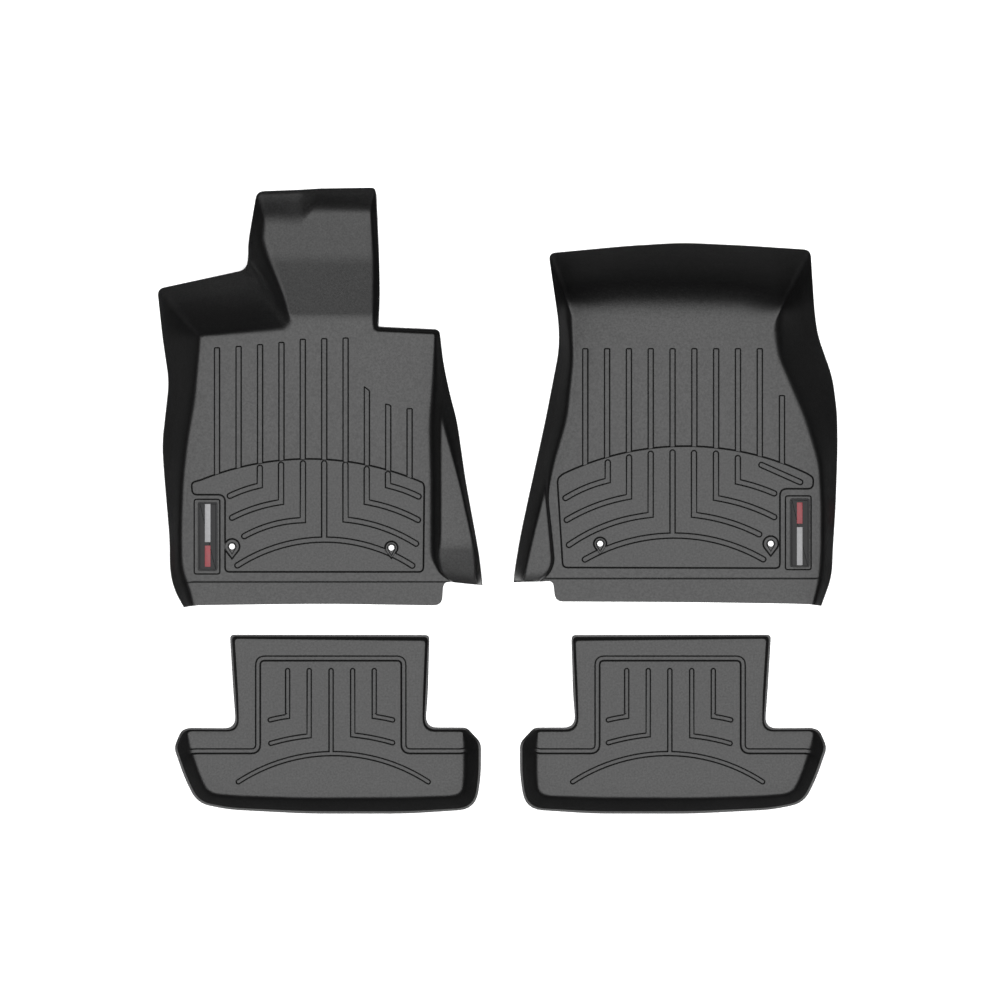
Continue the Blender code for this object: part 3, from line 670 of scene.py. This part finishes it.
def driver_relief():
    relief = Relief(driver_base)
    reservoir = [
        (-192, 82.5, 9),
        (-140, 82.5, 10),
        (-140, -41, 9),
        (180, -41, 9),
        (181.5, 103, 9),
    ]
    front = [(x, y, 0) for x, y in arc_points(170, -178, *DRIVER_ARC)]
    relief.cuts.append((rounded(reservoir + front + [(-194, 104, 7)]), RESERVOIR_WALL, RESERVOIR_DEPTH))
    add_grooves(relief, DRIVER_GROOVES, DRIVER_ARC)
    ribs = [
        bent_rib((-83, 127), (-83, 98.5), (-131, 82), -1.5),
        bent_rib((-49, 132), (-49, 72), (-127.5, 47), -3.5),
        bent_rib((-14, 134), (-14, 43), (-108, 17.5), -6),
        [(20, 134), (20, 12)],
        bent_rib((54, 132), (54, 44), (167, 5.5), 7),
        bent_rib((88, 125), (88, 72), (170, 43.5), 3.5),
        bent_rib((122, 117), (122, 98.5), (171, 81), 1.5),
        arc_points(-119, 161, 20.8, 12.0, 257.0),
    ]
    add_ribs(relief, ribs, RIB_WIDTH, RIB_HEIGHT)
    add_clip_seat(relief, DRIVER_HOLES[0], BROAD_PAD)
    add_clip_seat(relief, DRIVER_HOLES[1], NARROW_PAD)
    add_badge_pocket(relief, DRIVER_BADGE)
    return relief


def ramp_post(floor, rim, top, cove, reach=20.0):
    """An upright beside the pedal column's ramp."""
    y = floor[1]
    slope = ramp_height(y + 1) - ramp_height(y)
    return post(floor, rim, top, cove, reach, level=ramp_height(y), slope=slope)


def driver_posts():
    ramp_side_top = [ramp_height(y) + COLUMN_RISE for y in (462, 380)]
    return [
        post((-181, -93), (-205, -96), 62, 11),
        post((-185.5, -70), (-219.5, -70), 68, 11),
        post((-201, -29), (-227, -40), 75, 10),
        post((-202, 27.5), (-227.5, 15), 83, 10),
        post((-199, 103.5), (-236.5, 118), 90, 9),
        post((-191, 170), (-239.5, 165), 96, 9),
        post((-180, 229), (-228.5, 264), 112, 11),
        post((-176.5, 284.5), (-239, 335), 142, 9),
        post((-173, 332), (-247.5, 413.5), 164, 9, 12),
        post((-27, 341), (-105.5, 444), 112, 10, 12),
        ramp_post((-32, 382), (-101.5, 465), 124, 12),
        ramp_post((-67, 490), (-102, 487), 116, 14),
        ramp_post((-70.5, 515.5), (-88, 569.5), 110, 12, 12),
        ramp_post((-19, 512), (-19, 572), 110, 12, 6),
        ramp_post((-1, 534), (12, 574), 124, 12, 6),
        ramp_post((92.5, 533), (102.5, 575.5), 121, 9, 8),
        ramp_post((92, 462), (108, 462), ramp_side_top[0], 8),
        ramp_post((93, 380), (109.5, 400), ramp_side_top[1], 8),
        post((97, 340.5), (105.5, 352.5), DECK + 14, 7, 6),
        post((194.5, 338), (204, 348), DECK + 15, 5, 6),
        post((189.5, 289.5), (210.5, 296), 50, 8),
        post((185.5, 250.5), (220.5, 248), 72, 9),
        post((181, 198.5), (233, 201), 88, 9.5, 20, ((205, 200, 42), (211, 200.5, 44))),
        post((183.5, 106), (246.5, 106), 90, 9.5, 20, ((205.5, 106, 42), (237, 106, 44))),
        post((183.5, 10), (264.5, 8), 86, 9.5, 20, ((205.5, 10, 42), (258.5, 9, 44))),
        post((184, -16), (268.5, -16), 83, 9.5, 12, ((201, -16, 31), (262, -17, 33))),
        post((202, -43), (272, -46), 72, 5, 8, ((208, -44, 18), (263, -47, 20))),
        post((222, -55.5), (273.5, -61.5), 66, 3, 8, ((227, -56.5, 11), (265, -60.5, 13))),
    ]


def front_liner(posts, relief, crease_lines, corners):
    rows = stations(posts, False)
    ends = rows[-1][0, :2].copy(), rows[0][0, :2].copy()
    border = free_edge(corners, ends[1], ends[0])
    for y in crease_lines:
        border, crossings = split_border(border, ends, y)
        crossings += insert_stations(rows, y, False)
        relief.lines.append(left_to_right(crossings))
    rows = crisp_ends(fill_stations(rows, False))
    return liner_mesh(rows, border, relief, False, FRONT_LIP)


def driver_liner():
    corners = [(210.5, -57, 12), (208.5, -93.5, 14), (20, -90.5, 60)]
    crease_lines = creases(
        (STRIP_BACK, STRIP_FRONT),
        (RAMP_START - RAMP_ROUND, RAMP_START + RAMP_ROUND),
        (RAMP_KNEE - RAMP_ROUND, RAMP_KNEE + RAMP_ROUND),
    )
    return front_liner(driver_posts(), driver_relief(), crease_lines, corners)


PASSENGER_ARC = (0.0, 157.5, 455.0)
PASSENGER_HOLES = ((-136.5, 0.0), (136.5, 0.0))
PASSENGER_GROOVES = [(-20.7 + 34.9 * i, 313, 313) for i in range(-4, 5)] + [(154.4, 238, 238)]
PASSENGER_BADGE = (159.0, 77.5, 202.0, -42.5)


def passenger_base(points):
    return DECK + rear_strip(points)


def passenger_relief():
    relief = Relief(passenger_base)
    reservoir = [
        (-206.5, 105, 8),
        (-197.5, -39.5, 9),
        (152.5, -40.5, 9),
        (152.5, 86.5, 10),
        (205.5, 86.5, 10),
        (206, 107, 7),
    ]
    front = [(x, y, 0) for x, y in arc_points(194, -196, *PASSENGER_ARC)]
    relief.cuts.append((rounded(reservoir + front), RESERVOIR_WALL, RESERVOIR_DEPTH))
    add_grooves(relief, PASSENGER_GROOVES, PASSENGER_ARC)
    ribs = [
        bent_rib((-124.3, 130), (-124.3, 101), (-192, 73), -3),
        bent_rib((-90.2, 138), (-90.2, 75), (-190, 38), -5),
        bent_rib((-55.6, 144), (-55.6, 46), (-186.5, -2), -9),
        [(-20.7, 146), (-20.7, 13)],
        bent_rib((13.6, 145), (13.6, 46), (118, 15), 5),
        bent_rib((48.8, 144), (48.8, 73), (142, 42.5), 4),
        bent_rib((83.8, 137), (83.8, 99), (142, 80.5), 1.5),
        [(121.5, 126), (183.5, 98.5)],
        arc_points(-161, 124.5, -18.0, 13.0, 286.0),
    ]
    add_ribs(relief, ribs, RIB_WIDTH, RIB_HEIGHT)
    add_clip_seat(relief, PASSENGER_HOLES[0], NARROW_PAD)
    add_clip_seat(relief, PASSENGER_HOLES[1], BROAD_PAD)
    add_badge_pocket(relief, PASSENGER_BADGE)
    return relief


def passenger_posts():
    return [
        post((-232, -60.8), (-275, -62), 62, 2, 8, ((-237, -61, 11), (-262, -61.5, 13))),
        post((-215, -49), (-274, -48), 68, 2.5, 8, ((-220, -45.5, 17), (-257.5, -48, 18.5))),
        post((-206.5, -30), (-271.5, -30), 75, 3, 12, ((-214, -29, 19), (-253.5, -30, 20.5))),
        post((-210.5, 12), (-264.5, 12), 80, 3, 20, ((-217, 12, 20), (-244, 12, 21.5))),
        post((-218, 78), (-250.5, 78), 86, 3, 20, ((-223, 78, 20), (-227.5, 78, 21))),
        post((-205.5, 125), (-240, 125), 89, 8),
        post((-182.5, 201), (-223.5, 201), 96, 9),
        post((-175, 287), (-202.5, 310), 120, 9.5),
        post((-176.5, 325), (-203, 352), 143, 11.5),
        post((-177.5, 357), (-219.5, 465), 190, 40, 12),
        post((-100, 327), (-95, 476.5), 201, 72, 20),
        post((0, 326), (-5, 482), 203, 72, 30),
        post((80, 324), (100, 477), 201, 72, 20),
        post((140, 351), (200.5, 470.5), 190, 34, 12),
        post((134.5, 329.5), (206.5, 375), 164, 14.5),
        post((141.5, 294), (211.5, 334), 142, 10.5),
        post((156.5, 261.5), (235.5, 266), 120, 10),
        post((181.5, 199.5), (243, 208), 100, 11.5),
        post((208, 122), (243.5, 150), 92, 9.5),
        post((210, 60), (240.5, 60), 88, 9.5),
        post((210, -10), (236, -10), 80, 9.5),
        post((207, -57), (234.5, -53), 72, 9.5),
        post((198, -97), (217.5, -99.5), 62),
    ]


def passenger_liner():
    corners = [(170, -96, 20), (0, -93.5, 60), (-208, -92.5, 12), (-212, -59.5, 8)]
    crease_lines = creases((STRIP_BACK, STRIP_FRONT))
    return front_liner(passenger_posts(), passenger_relief(), crease_lines, corners)


BEAD_LEVEL = -1.0  # y of the bead's side runs
BEAD_BOX = (-117.5, 115.5, 147.5)  # left, right and front of the bead's box
BEAD_ROUND = 11.0
FAR = 400.0  # beyond any edge of a rear liner
REAR_ARC = (3.0, -4.8, 278.0)  # crown of the lower baffle


def bead_path(shift):
    """The bead's line, moved by shift towards the reservoir."""
    left, right, front = BEAD_BOX[0] + shift, BEAD_BOX[1] - shift, BEAD_BOX[2] - shift
    level = BEAD_LEVEL - shift
    wide, tight = BEAD_ROUND + shift, BEAD_ROUND - shift
    corners = [(-FAR, level, 0), (left, level, wide), (left, front, tight)]
    corners += [(right, front, tight), (right, level, wide), (FAR, level, 0)]
    return rounded(corners)


def rear_base(points):
    """The rear deck: outer deck, bead and reservoir, by distance across the bead."""
    path = bead_path(0.0)
    across = distance_to(points, path)
    reservoir = np.vstack([path, [(FAR, -FAR), (-FAR, -FAR)]])
    across = np.where(is_inside(points, reservoir), across, -across)
    height = np.full(len(points), REAR_DECK)
    for start, end, change in BEAD_SIDES:
        height += change * smooth_step((across - start + FILLET) / (end - start + 2 * FILLET))
    return height


def rear_posts():
    low = REAR_DECK + REAR_RIM
    front = [
        post((-153.5, 178), (-162.5, 185.5), low, 2, 7, level=REAR_DECK),
        post((149, 173.5), (157, 185), low, 3, 7, level=REAR_DECK),
        post((144.5, 90), (154.5, 90), low, 3, 20, level=REAR_DECK),
        post((144.5, 28.5), (150, 37), low, 3, 20, level=REAR_DECK),
        post((209, 28.5), (216.5, 37), low + 2, 3, 6, level=REAR_DECK),
        post((206, 7), (239.5, 13), 45, 7, 10, level=REAR_DECK),
    ]
    back = [
        post((206, -40.5), (239.5, -38), 48, 7, 20, level=SHEET),
        post((205, -68), (231, -94), 50, 7, 28, level=SHEET),
        post((107.5, -69.5), (120, -101), 49, 7, 30, level=SHEET),
        post((-40, -70.5), (-40, -101), 48, 6, 30, level=SHEET),
        post((-146, -67.5), (-165, -94.5), 48, 7.5, 20, level=SHEET),
        post((-189.5, -65), (-215, -84), 48, 8, 20, level=SHEET),
        post((-203.5, -42), (-235, -44), 46, 7, 20, level=SHEET),
    ]
    shelf = [
        post((-219.5, 8.5), (-252, 5), 38, 7, 9, level=REAR_DECK),
        post((-228.5, 30), (-239, 35.5), low + 2, 4, 11, level=REAR_DECK),
        post((-147, 29.5), (-152.5, 36), low, 2, 19, level=REAR_DECK),
        post((-148, 90.5), (-157, 95), low, 2, 20, level=REAR_DECK),
    ]
    return front + back + shelf


def rear_relief():
    relief = Relief(rear_base)
    ribs = [
        bent_rib((-70, 128), (-70, 54.5), (-98, 49), -0.5),
        bent_rib((-35.5, 128), (-35.5, 23.5), (-97, 11.5), -1.5),
        [(-0.5, 128), (-0.5, -5)],
        bent_rib((34, 128), (34, 25), (98, 12.5), 1.5),
        bent_rib((68.5, 128), (68.5, 54.5), (98, 49), 0.5),
        arc_points(-149, 155, *REAR_ARC),
    ]
    add_ribs(relief, ribs, REAR_RIB_WIDTH, RIB_HEIGHT)
    return relief


def rear_liner():
    relief = rear_relief()
    rows = stations(rear_posts(), True)
    for start, end, _ in BEAD_SIDES:
        for shift in np.linspace(start - FILLET, end + FILLET, RINGS):
            path = bead_path(shift)
            ends = insert_stations(rows, path[0, 1], True)
            path[0], path[-1] = ends[0], ends[-1]
            relief.lines.append(path)
    return liner_mesh(fill_stations(rows, True), [], relief, True, REAR_LIP)


# ---------------------------------------------------------------- materials


def new_material(name, colour, roughness, specular=0.5):
    material = bpy.data.materials.new(name)
    material.use_nodes = True
    shader = material.node_tree.nodes["Principled BSDF"]
    shader.inputs["Base Color"].default_value = (*colour, 1.0)
    shader.inputs["Roughness"].default_value = roughness
    shader.inputs["Specular IOR Level"].default_value = specular
    return material, shader


def texture(material, kind, scale, **settings):
    """A texture node in the piece's own coordinates, in metres."""
    nodes, links = material.node_tree.nodes, material.node_tree.links
    place = nodes.get("place") or nodes.new("ShaderNodeTexCoord")
    place.name = "place"
    node = nodes.new(kind)
    links.new(place.outputs["Object"], node.inputs["Vector"])
    node.inputs["Scale"].default_value = scale
    for name, value in settings.items():
        node.inputs[name].default_value = value
    return node


def vary(material, source, low, high, target):
    """Drives a shader socket between two values by a texture's output."""
    nodes, links = material.node_tree.nodes, material.node_tree.links
    span = nodes.new("ShaderNodeMapRange")
    span.inputs["From Min"].default_value = NOISE_LOW
    span.inputs["From Max"].default_value = NOISE_HIGH
    span.inputs["To Min"].default_value = low
    span.inputs["To Max"].default_value = high
    links.new(source, span.inputs["Value"])
    links.new(span.outputs["Result"], target)


def vary_colour(material, source, dark, light, target):
    nodes, links = material.node_tree.nodes, material.node_tree.links
    ramp = nodes.new("ShaderNodeValToRGB")
    for element, place, colour in zip(ramp.color_ramp.elements, (NOISE_LOW, NOISE_HIGH), (dark, light)):
        element.position = place
        element.color = (*colour, 1.0)
    links.new(source, ramp.inputs["Fac"])
    links.new(ramp.outputs["Color"], target)


def add_bump(material, shader, source, distance, strength=1.0):
    """Raises the surface by a texture, on top of any bump already there."""
    nodes, links = material.node_tree.nodes, material.node_tree.links
    bump = nodes.new("ShaderNodeBump")
    bump.inputs["Distance"].default_value = distance
    bump.inputs["Strength"].default_value = strength
    links.new(source, bump.inputs["Height"])
    normal = shader.inputs["Normal"]
    if normal.is_linked:
        links.new(normal.links[0].from_socket, bump.inputs["Normal"])
    links.new(bump.outputs["Normal"], normal)


def liner_material():
    """Black thermoplastic with a fine leather-like grain and faint handling marks."""
    material, shader = new_material("liner_plastic", (0.002, 0.002, 0.002), 0.45)
    cloudy = texture(material, "ShaderNodeTexNoise", 14.0, Detail=5.0)
    vary_colour(material, cloudy.outputs["Fac"], (0.0009, 0.0009, 0.001), (0.0015, 0.0015, 0.0016),
                shader.inputs["Base Color"])
    scuffed = texture(material, "ShaderNodeTexNoise", 95.0, Detail=6.0, Roughness=0.6)
    vary(material, scuffed.outputs["Fac"], 0.38, 0.43, shader.inputs["Roughness"])
    mottled = texture(material, "ShaderNodeTexNoise", 330.0, Detail=2.0)
    vary(material, mottled.outputs["Fac"], 0.43, 0.57, shader.inputs["Specular IOR Level"])
    grain = texture(material, "ShaderNodeTexVoronoi", 850.0)
    add_bump(material, shader, grain.outputs["Distance"], 0.00012, 0.8)
    fine = texture(material, "ShaderNodeTexNoise", 2600.0, Detail=3.0)
    add_bump(material, shader, fine.outputs["Fac"], 0.00005, 0.7)
    return material


def plate_material():
    """Satin black plastic of the badge plates."""
    material, shader = new_material("plate_satin", (0.004, 0.004, 0.0045), 0.35, 0.2)
    brushed = texture(material, "ShaderNodeTexNoise", 240.0, Detail=4.0)
    vary(material, brushed.outputs["Fac"], 0.3, 0.42, shader.inputs["Roughness"])
    add_bump(material, shader, texture(material, "ShaderNodeTexNoise", 1800.0).outputs["Fac"], 0.00003, 0.5)
    return material


def paint_material(name, dark, light):
    """Paint on the badge's raised bars, a little uneven."""
    material, shader = new_material(name, light, 0.4)
    uneven = texture(material, "ShaderNodeTexNoise", 160.0, Detail=4.0)
    vary_colour(material, uneven.outputs["Fac"], dark, light, shader.inputs["Base Color"])
    vary(material, uneven.outputs["Fac"], 0.35, 0.5, shader.inputs["Roughness"])
    add_bump(material, shader, texture(material, "ShaderNodeTexNoise", 1500.0).outputs["Fac"], 0.00003, 0.4)
    return material


def foam_material():
    """Off-white foam of the double-sided adhesive pads."""
    material, shader = new_material("adhesive_foam", (0.6, 0.6, 0.57), 0.8)
    cells = texture(material, "ShaderNodeTexVoronoi", 1600.0)
    vary_colour(material, cells.outputs["Distance"], (0.5, 0.5, 0.47), (0.66, 0.66, 0.63),
                shader.inputs["Base Color"])
    add_bump(material, shader, cells.outputs["Distance"], 0.0001, 0.6)
    return material


def floor_material():
    material, shader = new_material("studio_floor", (0.9, 0.9, 0.9), 0.9, 0.1)
    faint = texture(material, "ShaderNodeTexNoise", 3.0)
    vary_colour(material, faint.outputs["Fac"], (0.89, 0.89, 0.89), (0.91, 0.91, 0.91),
                shader.inputs["Base Color"])
    shader.inputs["Emission Color"].default_value = (1, 1, 1, 1)
    shader.inputs["Emission Strength"].default_value = FLOOR_GLOW
    return material


# ---------------------------------------------------------------- pieces


def add_piece(name, points, faces, material, at, body, nodes=()):
    """A mesh in metres at a place of the set, riding on a CAD body."""
    mesh = bpy.data.meshes.new(name)
    mesh.from_pydata(points.tolist(), [], faces)
    mesh.materials.append(material)
    mesh.shade_smooth()
    piece = bpy.data.objects.new(name, mesh)
    piece.location = [value * MM for value in at]
    bpy.context.scene.collection.objects.link(piece)
    if nodes:
        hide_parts(*nodes)
    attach(piece, body)
    return piece


def add_liner(name, design, material, at, body, node, mirrored=False):
    """One liner, with the deck's own normals where they are known exactly."""
    points, faces, deck_normals, shift = design
    if mirrored:
        points = points * (-1, 1, 1)
        deck_normals = deck_normals * (-1, 1, 1)
        faces = [face[::-1] for face in faces]
    piece = add_piece(name, points * MM, faces, material, (*at, 0), body, [node])
    normals = np.array([vertex.vector for vertex in piece.data.vertex_normals])
    count = len(deck_normals)
    normals[:count] = deck_normals
    normals[shift : shift + count] = -deck_normals
    piece.data.normals_split_custom_set_from_vertices(normals.tolist())
    return piece


def plate_rings(size, reach, profile):
    """A rounded plate's points and faces from (inset, z) rings; the first and the last ring are filled."""
    x, y = size[0] / 2, size[1] / 2
    outline = rounded([(-x, -y, reach), (x, -y, reach), (x, y, reach), (-x, y, reach)])
    count = len(outline)
    points = np.vstack([np.column_stack([inset(outline, back), np.full(count, z)]) for back, z in profile])
    faces = [tuple(range(count))[::-1], tuple(range(len(points) - count, len(points)))]
    for ring in range(len(profile) - 1):
        low = ring * count
        for i in range(count):
            j = (i + 1) % count
            faces.append((low + i, low + j, low + count + j, low + count + i))
    return points, faces


PLATE_BOTTOM = DECK - POCKET_DEPTH + GAP + ADHESIVE + GAP
BORDER_INSET, BORDER_WIDTH, FIELD_DEPTH = 0.9, 1.1, 0.35
BAR_RISE, BAR_ROUND = 0.25, 0.8
PLATE_PROFILE = (  # inset from the edge and height over the plate's underside
    (0.25, 0.0),
    (0.0, 0.25),
    (0.0, PLATE - 0.35),
    (0.12, PLATE - 0.1),
    (0.4, PLATE),
    (BORDER_INSET + BORDER_WIDTH, PLATE),
    (BORDER_INSET + BORDER_WIDTH + 0.25, PLATE - 0.1),
    (BORDER_INSET + BORDER_WIDTH + 0.4, PLATE - FIELD_DEPTH),
    (BORDER_INSET + BORDER_WIDTH + 1.2, PLATE - FIELD_DEPTH),
)
# Plain bars on the plate: name, middle along and across the plate, length, width.
# Along runs towards the rear.
BARS = (
    ("light", -21.5, 0.0, 61.0, 9.0),
    ("red", 31.5, 0.0, 34.0, 9.0),
)


def add_badge(side, plate_at, liner_at, way, materials):
    """A badge plate with two plain raised bars; way is -1 where the plate lies the other way round."""
    body = {"front_left": "driver", "front_right": "passenger"}[side]
    middle = np.add(plate_at, liner_at)
    points, faces = plate_rings(BADGE_SIZE, PLATE_ROUND, PLATE_PROFILE)
    at = (*middle, PLATE_BOTTOM)
    add_piece(f"{side}_plate", points * MM, faces, materials["plate"], at, body,
              [f"{side}_badge"])
    field = PLATE - FIELD_DEPTH
    for name, along, across, length, width in BARS:
        profile = ((0.0, field - 0.1), (0.0, field + 0.6 * BAR_RISE), (0.15, field + BAR_RISE))
        points, faces = plate_rings((width, length), BAR_ROUND, profile)
        points += (way * across, -way * along, 0)
        add_piece(f"{side}_bar_{name}", points * MM, faces, materials[name], at, body)


# ---------------------------------------------------------------- studio


def add_floor():
    reach = FLOOR_REACH
    mesh = bpy.data.meshes.new("studio_floor")
    corners = [(-reach, -reach, 0), (reach, -reach, 0), (reach, reach, 0), (-reach, reach, 0)]
    mesh.from_pydata(corners, [], [(0, 1, 2, 3)])
    mesh.materials.append(floor_material())
    floor = bpy.data.objects.new("studio_floor", mesh)
    bpy.context.scene.collection.objects.link(floor)


def add_light():
    """One broad softbox overhead, a little to the right, and a faint fill from all round."""
    lamp = bpy.data.lights.new("softbox", "AREA")
    lamp.shape = "SQUARE"
    lamp.size = SOFTBOX_SIZE
    lamp.energy = SOFTBOX_WATTS
    softbox = bpy.data.objects.new("softbox", lamp)
    softbox.location = SOFTBOX_AT
    bpy.context.scene.collection.objects.link(softbox)
    world = bpy.data.worlds.new("studio")
    world.use_nodes = True
    background = world.node_tree.nodes["Background"]
    background.inputs["Color"].default_value = (1, 1, 1, 1)
    background.inputs["Strength"].default_value = FILL_STRENGTH
    bpy.context.scene.world = world


def add_camera():
    """Straight overhead, without perspective."""
    camera = bpy.data.cameras.new("camera")
    camera.type = "ORTHO"
    camera.ortho_scale = PICTURE_WIDTH
    camera.clip_end = 20.0
    eye = bpy.data.objects.new("camera", camera)
    eye.location = EYE_AT
    bpy.context.scene.collection.objects.link(eye)
    bpy.context.scene.camera = eye
    bpy.context.scene.view_settings.view_transform = "Standard"


def main():
    liner = liner_material()
    add_liner("front_left_shell", driver_liner(), liner, DRIVER_AT, "driver", "front_left_liner")
    add_liner("front_right_shell", passenger_liner(), liner, PASSENGER_AT, "passenger", "front_right_liner")
    rear = rear_liner()
    add_liner("rear_left_shell", rear, liner, REAR_LEFT_AT, "rear_left", "rear_left_liner")
    add_liner("rear_right_shell", rear, liner, REAR_RIGHT_AT, "rear_right", "rear_right_liner", True)
    materials = {
        "plate": plate_material(),
        "light": paint_material("bar_light", (0.14, 0.14, 0.145), (0.18, 0.18, 0.185)),
        "red": paint_material("bar_red", (0.11, 0.002, 0.006), (0.15, 0.004, 0.01)),
    }
    add_badge("front_left", DRIVER_PLATE_AT, DRIVER_AT, 1, materials)
    add_badge("front_right", PASSENGER_PLATE_AT, PASSENGER_AT, -1, materials)
    foam = foam_material()
    for node in ("front_left_badge_pad", "front_right_badge_pad"):
        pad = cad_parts[node]
        pad.data.materials.clear()
        pad.data.materials.append(foam)
    add_floor()
    add_light()
    add_camera()


main()
